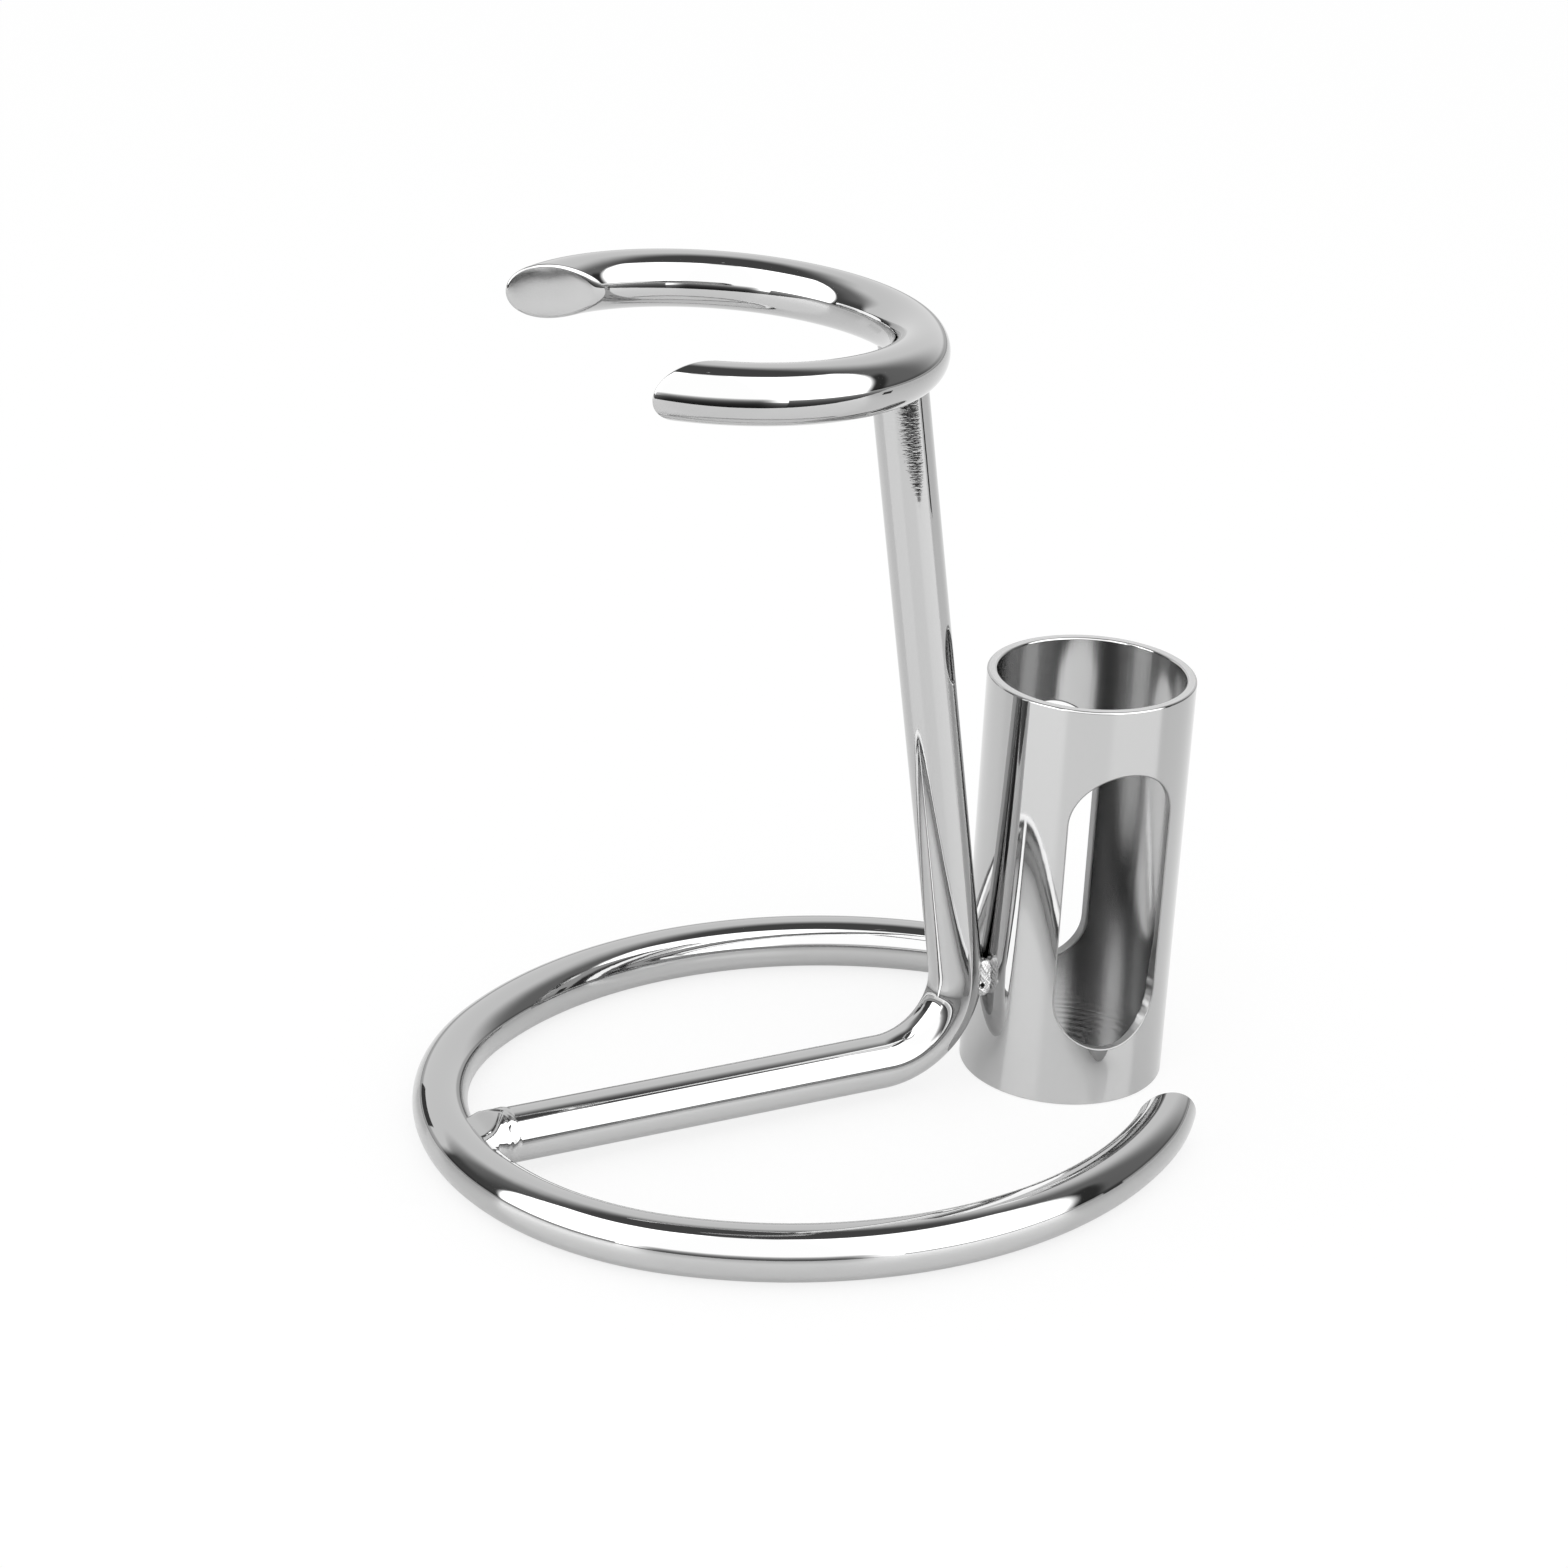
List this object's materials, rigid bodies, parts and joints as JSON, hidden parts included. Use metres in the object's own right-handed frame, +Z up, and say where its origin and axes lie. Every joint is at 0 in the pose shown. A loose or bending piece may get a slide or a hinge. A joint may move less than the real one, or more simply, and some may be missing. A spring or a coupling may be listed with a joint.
{
  "type": "shaving brush and razor stand",
  "caption": "Chrome-plated stand of bent round bar with an open ring that hangs a shaving brush and a slotted upright tube that holds a razor.",
  "frame": {"origin": "centre of the base ring's oval, on the counter", "axes": "+Z up, along the razor tube's axis; +X along the spoke, from the base ring's closed end towards the razor tube; +Y to the back"},
  "size_m": [0.0933, 0.0804, 0.0993],
  "materials": {
    "bar_chrome": "polished and chrome-plated steel bar",
    "tube_chrome": "polished and chrome-plated steel tube, thinner plating inside",
    "weld_chrome": "ground weld metal under the same plating"
  },
  "bodies": {
    "root": {"base_ring": "bar_chrome", "upright_bar": "bar_chrome", "brush_ring": "bar_chrome", "razor_tube": "tube_chrome", "tube_floor": "tube_chrome", "base_weld": "weld_chrome", "ring_weld": "weld_chrome", "tube_weld_front": "weld_chrome", "tube_weld_back": "weld_chrome"}
  },
  "joints": []
}
